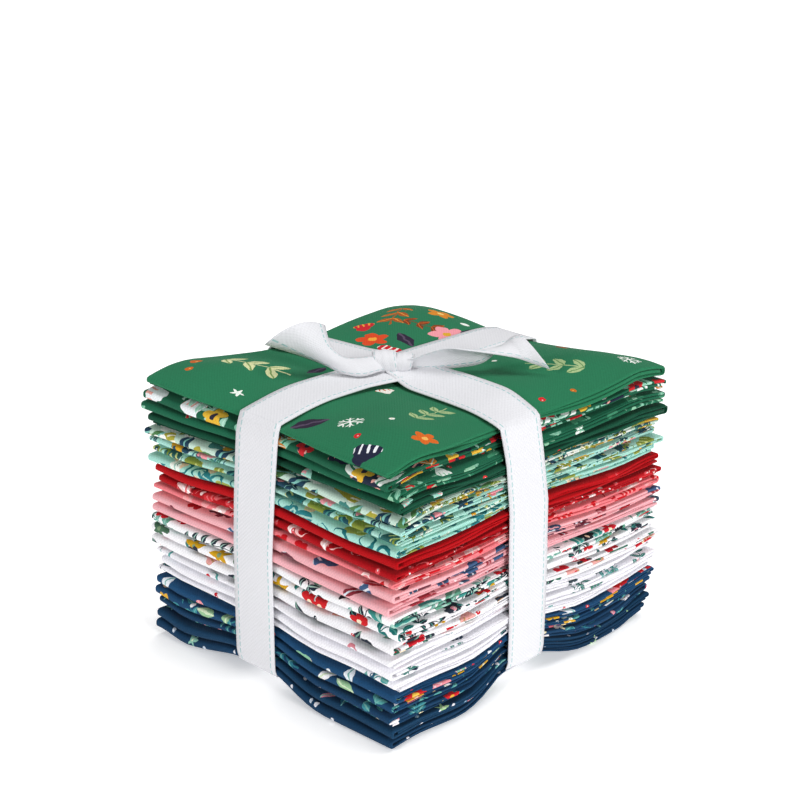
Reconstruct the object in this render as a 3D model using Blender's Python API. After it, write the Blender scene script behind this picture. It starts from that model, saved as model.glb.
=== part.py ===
"""Fat quarter bundle: folded cotton cuts in a stack, tied both ways with one flat ribbon.

Metres, +Z up, origin at the middle of the base. Sizes below are in millimetres. Every cut is letter
folded, so its side view is one back-and-forth section of three layers: a tall fold at one side holds all
three, and a short fold at the other holds the upper two. The sections are lofted along X. The ribbon
presses a channel into the top and the underside, which leaves four soft lobes at the corners.
"""

import math
from collections import namedtuple

import bmesh
import bpy
import numpy as np
from mathutils import Matrix, Vector

MM = 0.001

# The folded stack
WIDTH = 134.0  # along X, a quarter of a cut's 21 in side
DEPTH = 154.0  # along Y, a third of its 18 in side and the folds
HEIGHT = 112.0
GAP = 0.42  # between layers and between cuts
FLAP_SHORT = 2.2  # the flap's free edge stops this far inside the short fold
LEVEL_ENOUGH = 0.5  # a face that points up or down by more than this lies along a layer
TALL_STEPS = 5  # straight steps round the outside of each fold
SHORT_STEPS = 4
MIDDLE = (0.4, -1.1, GAP / 2)  # the middle of the tied bundle's base, which becomes the origin

# The ribbon
RIBBON_X = -6.3  # the band that runs along Y
RIBBON_Y = -4.7  # the band that runs along X
RIBBON_WIDTH = 22.2
RIBBON_THICK = 1.0
RIBBON_CLEAR = 0.45  # from the folds that it passes over
LAP = 0.5  # how far one band rides over the other where they cross
TIE_PINCH = 3.2  # how much narrower a band is on each side at the knot
TIE_LIFT = 1.6  # how much higher it is there
TIE_REACH = 26.0
BAND_CORNER = ((13.0, 0.0), (6.0, 0.6), (1.6, 2.4), (0.0, 6.5))  # in from the side and down at each bend
BAND_SIDES = (0.8, 0.5, 0.2)  # shares of the height
CLEARING_ROUNDS = 6
OUTLINE_STEP = 3.0
PARALLEL = 1e-9
ROUNDING = 1e-6
NOSE_ROUND = 0.7  # how much of a fold's half thickness its rounded nose takes up
KNOT_SIZE = (15.5, 11.0, 9.0)
KNOT_PLACE = (-3.4, -5.2, 116.6)
KNOT_TURN = math.radians(43.0)
KNOT_ROUND = 2.8

# Where the surfaces bend: the outer lines are the stack's sides, the inner pair is just outside a band
CHANNEL = RIBBON_WIDTH / 2 + 0.6
LINES_X = (-WIDTH / 2, -49.0, RIBBON_X - CHANNEL, RIBBON_X + CHANNEL, 45.0, WIDTH / 2)
LINES_Y = (-DEPTH / 2, -57.0, RIBBON_Y - CHANNEL, RIBBON_Y + CHANNEL, 52.0, DEPTH / 2)

# Top lobes: how much each corner stands above HEIGHT, and the shapes that all of them share
LOBES = {"left": 3.4, "front": 1.5, "right": 1.0, "back": -3.6}
LOBE_PRESSED = 0.6  # the share of a lobe that a band takes away
SHOULDER_DROP = 1.0
CROWN = 5.4
CROWN_EDGE = 0.6  # its share along the middle of a lobe's outer edge
CROWN_REACH = 24.0
TOP_CHANNEL = 4.8
BASE_CHANNEL = 7.6
CHANNEL_REACH = 28.0
BASE_CURL = 2.0  # how far the left and right corners curl up off the ground
TOP_PULL = 4.2  # how far the ribbon draws the uppermost folds in, and the lowest
BASE_PULL = 1.6
PULL_REACH = 0.3  # the share of the height over which each fades out
BACK_IN = 1.0  # how far the back corner stays in
SPLAY = (3.6, 1.2)  # how far the front corner stands out to -Y at the base and at the top

# Colour groups from the base up. Each corner column is the share of the height at the group's top.
Group = namedtuple("Group", "cloth cuts left front right")
GROUPS = (
    Group("navy", 5, 0.235, 0.215, 0.190),
    Group("white", 6, 0.483, 0.490, 0.446),
    Group("pink", 2, 0.560, 0.580, 0.530),
    Group("red", 3, 0.672, 0.694, 0.655),
    Group("mint", 4, 0.815, 0.844, 0.802),
    Group("green", 4, 1.000, 1.000, 1.000),
)

# One row for each cut, from the base up. tall is the side of its tall fold: -1 is -Y, 1 is +Y.
# left and right are how far that corner stands out in mm, front is its shift to +X and +Y, plump its
# share of its group's height.
Cut = namedtuple("Cut", "tall left front right plump")
CUTS = (
    Cut(-1, 1.8, 0.0, -1.6, 1.10),
    Cut(-1, 1.5, 0.3, -0.2, 1.00),
    Cut(1, 0.9, -0.2, -0.4, 1.10),
    Cut(-1, 1.4, 0.0, -0.2, 0.92),
    Cut(-1, 1.0, 1.4, 0.3, 0.92),
    Cut(1, -0.3, 1.6, -1.0, 0.88),
    Cut(-1, -0.8, 0.3, 1.1, 0.98),
    Cut(1, 0.3, -0.9, 0.0, 0.94),
    Cut(-1, 1.2, 1.1, 1.5, 1.12),
    Cut(-1, 1.4, 1.4, 0.5, 1.12),
    Cut(-1, 1.2, 1.0, 1.0, 0.98),
    Cut(-1, 0.6, -0.6, 1.4, 0.96),
    Cut(-1, 0.7, 0.6, 1.0, 1.04),
    Cut(1, -0.4, 0.6, 1.2, 0.97),
    Cut(-1, -1.4, 1.1, 0.8, 0.94),
    Cut(-1, -0.7, 1.7, 1.2, 1.10),
    Cut(-1, 0.6, 1.5, -0.3, 1.10),
    Cut(1, 0.0, 1.4, 1.8, 0.92),
    Cut(1, 0.6, 2.0, 0.0, 0.96),
    Cut(-1, 1.6, 2.2, -0.1, 1.02),
    Cut(1, 0.9, 2.2, 2.2, 1.06),
    Cut(-1, 2.2, 1.4, 1.6, 0.96),
    Cut(-1, 2.1, -1.4, 1.4, 0.94),
    Cut(1, 0.6, -1.7, 2.0, 1.04),
)

# The ribbon's two ends, from the knot outward: both edges of the tape, and how far its middle arches
Tape = namedtuple("Tape", "near_x near_y near_z far_x far_y far_z arch")
RIGHT_END = (
    Tape(-2.0, -5.4, 118.4, -2.6, -3.6, 115.2, 0.3),
    Tape(4.6, -3.2, 120.4, 4.4, -0.8, 116.2, 0.8),
    Tape(10.2, 0.4, 123.2, 9.4, 6.6, 115.8, 1.6),
    Tape(17.0, 4.0, 125.4, 14.0, 13.2, 116.4, 2.2),
    Tape(26.2, 8.6, 125.6, 21.4, 20.6, 117.8, 2.2),
    Tape(33.0, 17.6, 123.4, 27.4, 29.4, 120.4, 1.6),
    Tape(40.0, 26.6, 120.8, 31.0, 37.6, 122.6, 1.0),
    Tape(45.6, 31.8, 119.2, 32.4, 42.2, 123.4, 0.6),
)
LEFT_END = (
    Tape(-3.6, -6.0, 118.6, -2.6, -6.6, 115.0, 0.3),
    Tape(-7.4, -9.4, 120.4, -1.8, -15.6, 115.8, 0.8),
    Tape(-9.4, -16.4, 120.6, -3.6, -22.8, 115.8, 1.4),
    Tape(-12.2, -22.6, 120.8, -9.8, -26.4, 116.6, 1.6),
    Tape(-16.4, -24.4, 122.6, -18.6, -28.4, 118.6, 3.0),
    Tape(-20.2, -23.8, 125.0, -28.2, -33.2, 121.4, 5.6),
    Tape(-26.6, -19.4, 128.4, -36.6, -42.6, 125.4, 8.0),
)

# sRGB colours of the cloths as the solids show them
COLOURS = {
    "navy": (0.10, 0.25, 0.39),
    "white": (0.94, 0.93, 0.94),
    "pink": (0.93, 0.66, 0.68),
    "red": (0.66, 0.03, 0.08),
    "mint": (0.66, 0.84, 0.78),
    "green": (0.14, 0.40, 0.29),
    "ribbon": (0.94, 0.95, 0.96),
}
ROUGHNESS = {"ribbon": 0.75}  # satin-faced tape; the cottons are duller
COTTON_ROUGHNESS = 0.9


def ease(value):
    """0 to 1 with level ends."""
    value = min(max(value, 0.0), 1.0)
    return value * value * (3.0 - 2.0 * value)


def channel(offset):
    """1 under a band, falling to 0 beyond its reach."""
    return 1.0 - ease((abs(offset) - CHANNEL) / CHANNEL_REACH)


def corner_mix(x, y, left, front, right, back):
    """A value that each of the four corners gives, blended over the plan."""
    across = x / WIDTH + 0.5
    along = y / DEPTH + 0.5
    near = left + (front - left) * across
    far = back + (right - back) * across
    return near + (far - near) * along


def top_node(x, y):
    """Height of the stack's top at a crossing of two lines."""
    pressed = max(channel(x - RIBBON_X), channel(y - RIBBON_Y))
    inner_x = ease((WIDTH / 2 - abs(x)) / CROWN_REACH)
    inner_y = ease((DEPTH / 2 - abs(y)) / CROWN_REACH)
    edge = inner_x * (1 - inner_y) + inner_y * (1 - inner_x)
    crown = inner_x * inner_y + CROWN_EDGE * edge
    lobe = corner_mix(x, y, **LOBES) * (1.0 - LOBE_PRESSED * pressed)
    return HEIGHT - SHOULDER_DROP + lobe + CROWN * crown - TOP_CHANNEL * pressed


def base_node(x, y):
    """Height of its underside there: flat on the ground but for the channels and two curled corners."""
    curled = x * y > 0 and abs(x) == WIDTH / 2 and abs(y) == DEPTH / 2
    return BASE_CHANNEL * max(channel(x - RIBBON_X), channel(y - RIBBON_Y)) + BASE_CURL * curled


TOP_NODES = [[top_node(x, y) for y in LINES_Y] for x in LINES_X]
BASE_NODES = [[base_node(x, y) for y in LINES_Y] for x in LINES_X]


def cell(lines, value):
    """The pair of lines that a value lies between, and its share of the way; it runs on past the ends."""
    index = 0
    while index < len(lines) - 2 and value > lines[index + 1]:
        index += 1
    return index, (value - lines[index]) / (lines[index + 1] - lines[index])


def surface(nodes, x, y):
    """A height between the lines, flat along each of them."""
    column, across = cell(LINES_X, x)
    row, along = cell(LINES_Y, y)
    near = nodes[column][row] * (1 - across) + nodes[column + 1][row] * across
    far = nodes[column][row + 1] * (1 - across) + nodes[column + 1][row + 1] * across
    return near * (1 - along) + far * along


def shares():
    """(left, front, right) share of the height at each cut's underside, and 1 for the top."""
    rows = [(0.0, 0.0, 0.0)]
    first = 0
    for group in GROUPS:
        start = rows[-1]
        plump = [cut.plump for cut in CUTS[first : first + group.cuts]]
        for count in range(group.cuts):
            done = sum(plump[: count + 1]) / sum(plump)
            ends = (group.left, group.front, group.right)
            rows.append(tuple(low + (high - low) * done for low, high in zip(start, ends)))
        first += group.cuts
    return rows


SHARES = shares()


def level(number, x, y):
    """Height of the boundary under cut number, or of the stack's top for the last number."""
    left, front, right = SHARES[number]
    share = corner_mix(x, y, left, front, right, (left + right) / 2)
    low = surface(BASE_NODES, x, y)
    return low + (surface(TOP_NODES, x, y) - low) * share


def layer_levels(thickness):
    """The undersides and tops of three layers in a cut of this thickness, upward."""
    layer = (thickness - 3 * GAP) / 3
    starts = [GAP / 2 + number * (layer + GAP) for number in range(3)]
    return [edge for start in starts for edge in (start, start + layer)]


def arc(centre, radius, start, end, steps):
    """Points inside an arc, in degrees, without its two ends."""
    for step in range(1, steps):
        angle = math.radians(start + (end - start) * step / steps)
        yield centre[0] + radius * math.cos(angle), centre[1] + radius * math.sin(angle)


def run(lines, start, end, height):
    """A straight stretch of a section: its ends and the lines that it crosses."""
    between = [line for line in lines if min(start, end) < line < max(start, end)]
    inner = sorted(between, reverse=end < start)
    return [(place, height) for place in (start, *inner, end)]


def fold_section(thickness, tall):
    """A letter fold's outline as (y, height), its tall fold at the side that tall gives."""
    edges = layer_levels(thickness)
    layer = edges[1] - edges[0]
    lines = [tall * line for line in LINES_Y[1:-1]]
    half = DEPTH / 2
    # Worked out with the tall fold at the positive side and the flap lowest, then turned to its side.
    tall_radius = (edges[5] - edges[0]) / 2
    short_radius = (edges[5] - edges[2]) / 2
    tall_centre = (half - tall_radius, (edges[5] + edges[0]) / 2)
    short_centre = (-half + short_radius, (edges[5] + edges[2]) / 2)
    flap_end = -half + FLAP_SHORT
    points = run(lines, flap_end, tall_centre[0], edges[0])
    points += arc(tall_centre, tall_radius, -90, 90, TALL_STEPS)
    points += run(lines, tall_centre[0], short_centre[0], edges[5])
    points += arc(short_centre, short_radius, 90, 270, SHORT_STEPS)
    points += run(lines, short_centre[0], tall_centre[0], edges[2])
    points += run(lines, tall_centre[0], short_centre[0], edges[3])
    points += arc(short_centre, short_radius - layer, 270, 90, SHORT_STEPS // 2)
    points += run(lines, short_centre[0], tall_centre[0], edges[4])
    points += arc(tall_centre, tall_radius - layer, 90, -90, TALL_STEPS // 2 + 1)
    points += run(lines, tall_centre[0], flap_end, edges[1])
    return [(tall * place, height) for place, height in points]


def side_shift(number, x, y):
    """How far a cut's edge stands out at a point of its outline, as (dx, dy)."""
    cut = CUTS[number]
    share = sum(SHARES[number] + SHARES[number + 1]) / 6
    pull = TOP_PULL * ease(1 - (1 - share) / PULL_REACH) + BASE_PULL * ease(1 - share / PULL_REACH)
    across = x / WIDTH + 0.5
    along = y / DEPTH + 0.5
    back = (cut.left + cut.right) / 2 - BACK_IN
    front_y = cut.front - SPLAY[0] - (SPLAY[1] - SPLAY[0]) * share
    if x > 0:
        shift_x = cut.front + (cut.right - cut.front) * along
    else:
        shift_x = -cut.left + (cut.left - back) * along
    if y > 0:
        shift_y = back + (cut.right - back) * across
    else:
        shift_y = -cut.left + (front_y + cut.left) * across
    shift_x -= math.copysign(pull * channel(y - RIBBON_Y), x)
    shift_y -= math.copysign(pull * channel(x - RIBBON_X), y)
    return shift_x, shift_y


def cut_rings(number):
    """The sections of one cut at the lines along X."""
    cut = CUTS[number]
    low, high = SHARES[number], SHARES[number + 1]
    thickness = HEIGHT * (sum(high) - sum(low)) / 3
    nominal = [0.0, *layer_levels(thickness), thickness]
    section = fold_section(thickness, cut.tall)
    rings = []
    for x in LINES_X:
        ring = []
        for y, height in section:
            shift_x, shift_y = side_shift(number, x, y)
            at_x = x + shift_x if x in (LINES_X[0], LINES_X[-1]) else x
            at_y = y if LINES_Y[1] <= y <= LINES_Y[-2] else y + shift_y
            bottom = level(number, at_x, at_y)
            local = level(number + 1, at_x, at_y) - bottom
            real = [0.0, *layer_levels(local), local]
            ring.append((at_x, at_y, bottom + float(np.interp(height, nominal, real))))
        rings.append(ring)
    return rings


def split_flat(bm, face):
    """Cuts a four-sided face along the same diagonal as its neighbours above and below."""
    order = sorted(face.verts, key=lambda vertex: vertex.co.x + vertex.co.y)
    beside = {corner for edge in order[0].link_edges for corner in edge.verts}
    if abs(face.normal.z) > LEVEL_ENOUGH and order[-1] not in beside:
        bmesh.utils.face_split(face, order[0], order[-1])


def loft(name, rings, closed=False):
    """A mesh through sections with the same count of points, in millimetres, as an object in metres."""
    bm = bmesh.new()
    loops = [[bm.verts.new((Vector(point) - Vector(MIDDLE)) * MM) for point in ring] for ring in rings]
    pairs = list(zip(loops, loops[1:]))
    if closed:
        pairs.append((loops[-1], loops[0]))
    else:
        bm.faces.new(loops[0])
        bm.faces.new(loops[-1])
    count = len(loops[0])
    sides = []
    for first, second in pairs:
        for index in range(count):
            after = (index + 1) % count
            sides.append(bm.faces.new((first[index], first[after], second[after], second[index])))
    bmesh.ops.recalc_face_normals(bm, faces=bm.faces)
    for face in sides:
        split_flat(bm, face)
    mesh = bpy.data.meshes.new(name)
    bm.to_mesh(mesh)
    bm.free()
    return bpy.data.objects.new(name, mesh)


def linear(value):
    """A linear colour value from an sRGB one."""
    return value / 12.92 if value <= 0.04045 else ((value + 0.055) / 1.055) ** 2.4


def material(name, cloth):
    """A Principled material in a cloth's own colour."""
    made = bpy.data.materials.get(name)
    if made:
        return made
    made = bpy.data.materials.new(name)
    made.use_nodes = True
    shader = made.node_tree.nodes["Principled BSDF"]
    shader.inputs["Base Color"].default_value = (*(linear(value) for value in COLOURS[cloth]), 1.0)
    shader.inputs["Roughness"].default_value = ROUGHNESS.get(cloth, COTTON_ROUGHNESS)
    shader.inputs["Metallic"].default_value = 0.0
    return made


def turn(a, b, c):
    """Above zero where a, b, c turn to the left."""
    return (b[0] - a[0]) * (c[1] - a[1]) - (b[1] - a[1]) * (c[0] - a[0])


def hull(points):
    """The convex outline round points in a plane, in order."""
    ordered = sorted(points)
    outline = []
    for sweep in (ordered, ordered[::-1]):
        half = []
        for point in sweep:
            while len(half) > 1 and turn(half[-2], half[-1], point) <= 0:
                half.pop()
            half.append(point)
        outline += half[:-1]
    return outline


def dense(outline):
    """The same outline with a point every few millimetres."""
    points = []
    for first, second in zip(outline, outline[1:] + outline[:1]):
        steps = math.ceil(math.dist(first, second) / OUTLINE_STEP)
        points += [tuple(np.add(first, np.subtract(second, first) * step / steps)) for step in range(steps)]
    return points


def ray_hit(outline, centre, target):
    """Where the ray from centre through target leaves an outline."""
    way = np.subtract(target, centre)
    for first, second in zip(outline, outline[1:] + outline[:1]):
        side = np.subtract(second, first)
        area = way[0] * side[1] - way[1] * side[0]
        if abs(area) < PARALLEL:
            continue
        start = np.subtract(first, centre)
        reach = (start[0] * side[1] - start[1] * side[0]) / area
        share = (start[0] * way[1] - start[1] * way[0]) / area
        if reach > 0 and -ROUNDING <= share <= 1 + ROUNDING:
            return tuple(np.add(centre, way * reach))
    raise ValueError("the ray misses the outline")


def stack_outline(index, over):
    """The stack's outline under one edge of a band, as (along the band, height), drawn taut."""
    lines = (LINES_X, LINES_Y)[index]

    def place(along):
        return (along, over) if index == 0 else (over, along)

    points = []
    for line in lines[1:-1]:
        points += [(line, surface(nodes, *place(line))) for nodes in (TOP_NODES, BASE_NODES)]
    for number in range(len(CUTS)):
        for side in (lines[0], lines[-1]):
            reach = side + side_shift(number, *place(side))[index]
            low, high = (level(count, *place(reach)) for count in (number, number + 1))
            nose = (high - low) / 2
            # The ends along X are cut square, and those along Y are folds.
            inset = nose * NOSE_ROUND * index
            points += [(reach, low + inset), (reach, high - inset)]
            points += [(reach - math.copysign(inset, side), edge) for edge in (low, high)]
    return dense(hull(points))


def drawn_over(path, outline, clearance):
    """A closed path, clockwise, moved out until each stretch of it clears the outline."""
    path = [Vector(point) for point in path]
    for _ in range(CLEARING_ROUNDS):
        for index in range(len(path)):
            start, end = path[index - 1], path[index]
            along = (end - start).normalized()
            away = Vector((-along.y, along.x))
            beside = [Vector(point) - start for point in outline]
            inside = [point for point in beside if 0 <= point.dot(along) <= (end - start).length]
            push = max([point.dot(away) for point in inside] + [-clearance]) + clearance
            path[index - 1] = start + away * push
            path[index] = end + away * push
    return path


def band_targets(index):
    """Where a band's sections stand, on a plain box round the stack, clockwise from the top."""
    lines = (LINES_X, LINES_Y)[index]
    knot_at = (RIBBON_X, RIBBON_Y)[index]
    half = lines[-1]
    tops = sorted([*lines[1:-1], knot_at, knot_at - TIE_REACH / 2, knot_at + TIE_REACH / 2])
    top = [(along, HEIGHT) for along in tops]
    base = [(line, 0.0) for line in reversed(lines[1:-1])]
    corner = [(half - inset, HEIGHT - drop) for inset, drop in BAND_CORNER]
    sides = [(half, HEIGHT * share) for share in BAND_SIDES]
    foot = [(half - inset, drop) for inset, drop in reversed(BAND_CORNER)]
    right = corner + sides + foot
    left = [(-across, height) for across, height in reversed(right)]
    return top + right + base + left


def band(name, index, lap):
    """The ribbon's loop around the stack: index 0 runs along X, 1 along Y."""
    cross = (RIBBON_Y, RIBBON_X)[index]
    knot_at = (RIBBON_X, RIBBON_Y)[index]
    centre = (0.0, HEIGHT / 2)
    targets = band_targets(index)
    edges = []
    for side in (-1, 1):
        outline = stack_outline(index, cross + side * RIBBON_WIDTH / 2)
        path = [ray_hit(outline, centre, target) for target in targets]
        edges.append(drawn_over(path, outline, RIBBON_CLEAR + lap))
    rings = []
    count = len(targets)
    for station, target in enumerate(targets):
        near = ease(1 - abs(target[0] - knot_at) / TIE_REACH) if target[1] == HEIGHT else 0.0
        half = RIBBON_WIDTH / 2 - TIE_PINCH * near
        corners = []
        for side, path in zip((-1, 1), edges):
            ahead = path[(station + 1) % count] - path[station - 1]
            away = Vector((-ahead.y, ahead.x)).normalized()
            inner = path[station] + Vector((0.0, TIE_LIFT * near))
            corners.append((side, inner, inner + away * RIBBON_THICK))
        (left, low_in, low_out), (right, high_in, high_out) = corners
        ring = []
        for side, at in ((left, low_in), (right, high_in), (right, high_out), (left, low_out)):
            over = cross + side * half
            ring.append((at.x, over, at.y) if index == 0 else (over, at.x, at.y))
        rings.append(ring)
    return loft(name, rings, closed=True)


def tape(name, rows):
    """A free end of the ribbon, through the rows of its table."""
    near = [Vector((row.near_x, row.near_y, row.near_z)) for row in rows]
    far = [Vector((row.far_x, row.far_y, row.far_z)) for row in rows]
    middle = [(a + b) / 2 for a, b in zip(near, far)]
    rings = []
    for index, row in enumerate(rows):
        ahead = middle[min(index + 1, len(rows) - 1)] - middle[max(index - 1, 0)]
        up = (far[index] - near[index]).cross(ahead).normalized()
        if up.z < 0:
            up = -up
        crown = middle[index] + up * row.arch
        skin = up * RIBBON_THICK / 2
        across = (near[index], crown, far[index])
        rings.append([point + skin for point in across] + [point - skin for point in reversed(across)])
    return loft(name, rings)


def knot(name):
    """The tight turn that holds the bands and both free ends."""
    bm = bmesh.new()
    size = Matrix.Diagonal((*(side * MM for side in KNOT_SIZE), 1.0))
    bmesh.ops.create_cube(bm, size=1.0, matrix=size)
    bmesh.ops.bevel(
        bm, geom=bm.edges[:], offset=KNOT_ROUND * MM, segments=2, profile=0.5, affect="EDGES"
    )
    mesh = bpy.data.meshes.new(name)
    bm.to_mesh(mesh)
    bm.free()
    made = bpy.data.objects.new(name, mesh)
    made.location = (Vector(KNOT_PLACE) - Vector(MIDDLE)) * MM
    made.rotation_euler = (0.0, 0.0, KNOT_TURN)
    return made


def collection(name):
    """A new collection in the scene."""
    made = bpy.data.collections.new(name)
    bpy.context.scene.collection.children.link(made)
    return made


def dress(obj, cloth, into):
    """Gives an object its material and its collection."""
    name = "woven ribbon" if cloth == "ribbon" else f"printed {cloth} cotton"
    obj.data.materials.append(material(name, cloth))
    into.objects.link(obj)


def fat_quarters(into):
    """Every cut of the stack, from the base up."""
    cloths = [group.cloth for group in GROUPS for _ in range(group.cuts)]
    for number, cloth in enumerate(cloths):
        dress(loft(f"fat_quarter_{number + 1:02d}", cut_rings(number)), cloth, into)


def ribbon(into, helpers):
    """The two bands, the knot and both free ends as one length."""
    whole = band("ribbon", 1, 0.0)
    dress(whole, "ribbon", into)
    for piece in (
        band("band along x", 0, LAP),
        knot("knot"),
        tape("right end", RIGHT_END),
        tape("left end", LEFT_END),
    ):
        helpers.objects.link(piece)
        piece.hide_render = True
        piece.display_type = "WIRE"
        join = whole.modifiers.new(piece.name, "BOOLEAN")
        join.operation = "UNION"
        join.solver = "EXACT"
        join.object = piece


def main():
    for obj in list(bpy.data.objects):
        bpy.data.objects.remove(obj, do_unlink=True)
    bundle = collection("fat quarter bundle")
    helpers = collection("cutters")
    helpers.hide_render = True
    fat_quarters(bundle)
    ribbon(bundle, helpers)


main()
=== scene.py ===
"""Fat quarter bundle: folded printed cottons in a stack, tied both ways with one white woven ribbon.

Each fat quarter is one thin cloth, folded in four across its width and then in thirds like a letter. All of
them share the press of the ribbon: a channel under each band and four soft lobes at the corners. The frame
gives the place and size; the sizes here are in millimetres unless a unit says otherwise.
"""

import math
from collections import namedtuple
from functools import partial

import bpy
import numpy as np
from bpy.props import EnumProperty, FloatProperty, FloatVectorProperty, PointerProperty
from mathutils import Matrix, Vector


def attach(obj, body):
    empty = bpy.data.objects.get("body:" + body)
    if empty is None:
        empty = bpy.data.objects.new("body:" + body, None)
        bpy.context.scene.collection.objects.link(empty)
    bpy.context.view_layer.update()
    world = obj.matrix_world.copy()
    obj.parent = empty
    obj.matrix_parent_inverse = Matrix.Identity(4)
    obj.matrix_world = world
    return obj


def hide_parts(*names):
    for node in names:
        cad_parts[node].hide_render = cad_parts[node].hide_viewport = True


bl_info = {
    "name": "Fat quarter bundle",
    "version": (1, 0, 0),
    "blender": (4, 5, 0),
    "location": "View3D > Sidebar > Bundle",
    "description": "Folds a stack of printed fat quarters and ties it with a ribbon",
    "category": "Object",
}

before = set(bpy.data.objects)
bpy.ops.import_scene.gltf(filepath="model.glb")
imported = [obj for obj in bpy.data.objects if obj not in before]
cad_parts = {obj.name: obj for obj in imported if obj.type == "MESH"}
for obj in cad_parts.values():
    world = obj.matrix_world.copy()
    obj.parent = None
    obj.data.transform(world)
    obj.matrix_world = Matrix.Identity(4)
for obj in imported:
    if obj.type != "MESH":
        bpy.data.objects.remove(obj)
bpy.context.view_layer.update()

MM = 0.001
TURN = 2 * math.pi


def table(name, columns, *rows):
    """Rows of values with named columns."""
    kind = namedtuple(name, columns)
    return tuple(kind(*row) for row in rows)


def linear(text):
    """A linear colour from an sRGB hex value."""
    values = [int(text[at : at + 2], 16) / 255 for at in (1, 3, 5)]
    return (*((v / 12.92 if v <= 0.04045 else ((v + 0.055) / 1.055) ** 2.4) for v in values), 1.0)


# The folded stack
WIDTH = 134.0
DEPTH = 154.0
HEIGHT = 112.0
MIDDLE = np.array((0.4, -1.1, 0.21))  # the middle of the tied bundle's base, which is the frame's origin
CUT_FLAT = (457.2, 533.4)  # a fat quarter is 18 in by 21 in
CUT_GAP = 0.66  # between one cut and the next
LAYER_GAP = 0.20  # between the letter folds
FOLD_SQUARE = 0.58  # 1 for a round fold, less for a pressed one
FLAP_SHORT = 2.2  # the flap's free edge stops this far inside the short fold
FREE_EDGE_IN = 1.2  # the cloth's two free edges lie this far inside the fold beside them
TUCK = 0.1  # the inner fold lies this far inside the outer one
LETTER_STEPS = (12, 8)  # points round the tall and the short letter fold
QUARTER_STEPS = (8, 5)  # points round the outer fold and the inner ones of the cloth folded in four

# The ribbon
RIBBON_X = -6.3  # where the band along y lies
RIBBON_Y = -4.7  # and where the band along x lies
RIBBON_WIDTH = 22.2
RIBBON_THICK = 0.45
RIBBON_CLEAR = 0.30  # between the cloth and the ribbon
LAP = 0.5  # how far the x band lies over the other
KNOT_PLACE = np.array((-3.4, -5.2, 116.6))
KNOT_TURN = math.radians(43.0)  # the way its width runs, from +X
TIE_REACH = 24.0  # over this length a band gathers towards the knot
TIE_DRAW = ((5.2, -1.2), (2.2, 4.6))  # how far the edges of the x band and of the y band are drawn aside
TIE_LIFT = (1.8, 0.4)  # and how far each rises there, so that the band along x lies over the other
TIE_PLEAT = 0.15  # the height of the soft pleats that it gathers into
BARREL = 0.16  # how much a turn of the knot narrows towards its edges
GATHER = 0.045  # and how deep its gathers are, as shares of its height
GATHERS = 3  # half waves across a turn of the knot
PLEATS = 3.5  # and across a gathered band
TAPE_STEPS, TAPE_ACROSS = 60, 9  # points along and across a free end
WRAP_STEPS, WRAP_ACROSS = 40, 11  # and round and across a turn of the knot
BAND_SWAY = (-1.9, -2.0, 2.7)  # how the x band strays on the +X side: at mid height, and by the rise above
SWAY_FROM = (30.0, 34.0)  # where along x that begins, and over what length
BAND_STEPS, BAND_ACROSS = 200, 9
BAND_SOFTENED = 4  # rounds in which its corners are softened
OUTLINE_IN = 4.0  # the outline under a band leaves out the top and the base this near the sides
OUTLINE_POINTS = 60
NOSE_ROUND = (0.25, 0.7)  # how round a cut's edge is under the x band and under the y band
TIE_TOP = 12.0  # a band gathers only this near the stack's top

# The press that all cuts share
CHANNEL = RIBBON_WIDTH / 2 + 0.6  # half the width of a channel's bottom
REACH_X = (31.0, 39.6)  # how far a channel's slope runs on the -X side of its band, and on the +X side
REACH_Y = (40.6, 45.0)
SLOPE_EASE = 0.35  # how much of the slope is rounded at its ends
LOBES = {"left": 3.4, "front": 1.5, "right": 1.0, "back": -3.6}  # how far each corner rises
LOBE_PRESSED = 0.6  # the share of that which the bands press out
SHOULDER_DROP = 1.0
RELIEF_FADES = 4.2  # the puffs and channels of the top fade below it by this power of the height
CROWN = 5.4  # how far the top puffs up inside its edges
CROWN_REACH = 24.0
CROWN_X = {"left": 0.80, "front": 0.82, "right": 0.62, "back": 0.45}  # share of the crown on the two X sides
CROWN_Y = {"left": 0.05, "front": 0.05, "right": 0.30, "back": 0.30}  # and on the two Y sides
TOP_CHANNEL = 4.8  # the depth of the channels in the top
SIDE_CHANNEL_X = (3.4, 7.2)  # the channel's depth at the -X edge and at the +X edge
SIDE_CHANNEL_Y = (1.8, 4.4)
SIDE_REACH = (47.0, 58.0)
SIDE_STRAY = 4.0  # how far towards -Y the +X side's channel lies from the middle of its band
BASE_CHANNEL = 7.6
BASE_REACH_X = (46.0, 27.0)
BASE_REACH_Y = (30.0, 30.0)
BASE_STEEP = 1.7  # above 1, a channel in the base narrows towards its bottom
BASE_FADES = 2.3  # the base's channels fade above it by this power of what is left of the height
BASE_CURL = 2.8  # how far the left and right corners of the base curl up
BULGE = 3.0  # how far the lowest cuts swell out on the +X side, between the band and each corner
TOP_PULL = 5.2  # how far the bands pull the top's edges in
BASE_PULL = 0.8  # and the base's
PULL_REACH = 0.36  # the share of the height over which each pull fades
BACK_IN = 1.0  # how far the back corner stands in
SPLAY = (3.6, 1.2)  # how far the front corner stands out towards -Y, at the base and at the top
EDGE_X = 49.0  # beyond this the sides take up their own shifts
EDGE_Y = 57.0
EDGE_FULL = (3.0, 5.0)  # and this far inside the folds along x and along y the shifts are full
SIDE_RIPPLE = 0.55  # how uneven each fold's edge is
LEVEL_RIPPLE = 0.22  # how uneven each cut lies on the next
NOSE_PINCH = 0.20  # how much thinner each cut is at its folds
SKEW_RIPPLE = 0.8  # how far each ply of a cut strays sideways
WAVE_COUNT = 4  # an unevenness is the sum of this many waves
WAVES = (38.0, 110.0)  # and their lengths lie between these
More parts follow.
